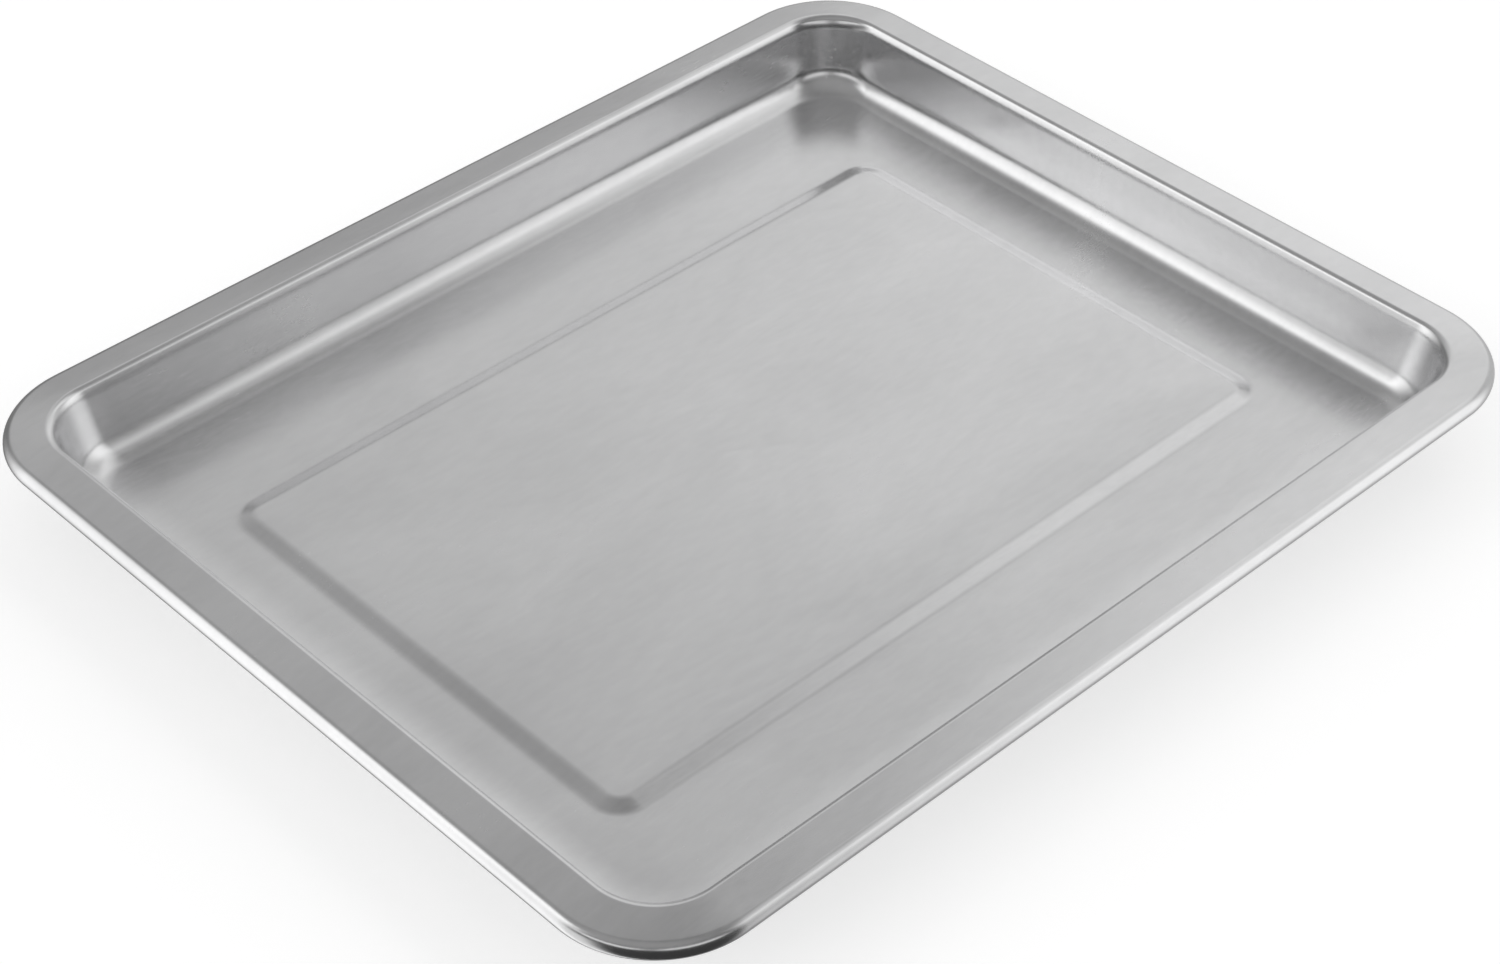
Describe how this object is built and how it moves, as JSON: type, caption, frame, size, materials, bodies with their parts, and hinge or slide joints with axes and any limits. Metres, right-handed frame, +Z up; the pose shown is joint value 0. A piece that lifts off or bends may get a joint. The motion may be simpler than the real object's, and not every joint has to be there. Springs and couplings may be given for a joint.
{
  "type": "rectangular metal tray",
  "caption": "Shallow rectangular tray pressed from one satin stainless-steel sheet, with a raised centre panel, a sloping flange and a rolled rim, for holding and counting small items.",
  "frame": {"origin": "on the surface the tray stands on, under the middle of the tray", "axes": "+X along the long side, +Y along the short side, +Z up out of the open side"},
  "size_m": [0.3, 0.25, 0.022],
  "materials": {
    "satin_steel": "satin stainless steel, fine grain, soft blurred reflections"
  },
  "bodies": {
    "root": {"pressed_tray": "satin_steel"}
  },
  "joints": []
}
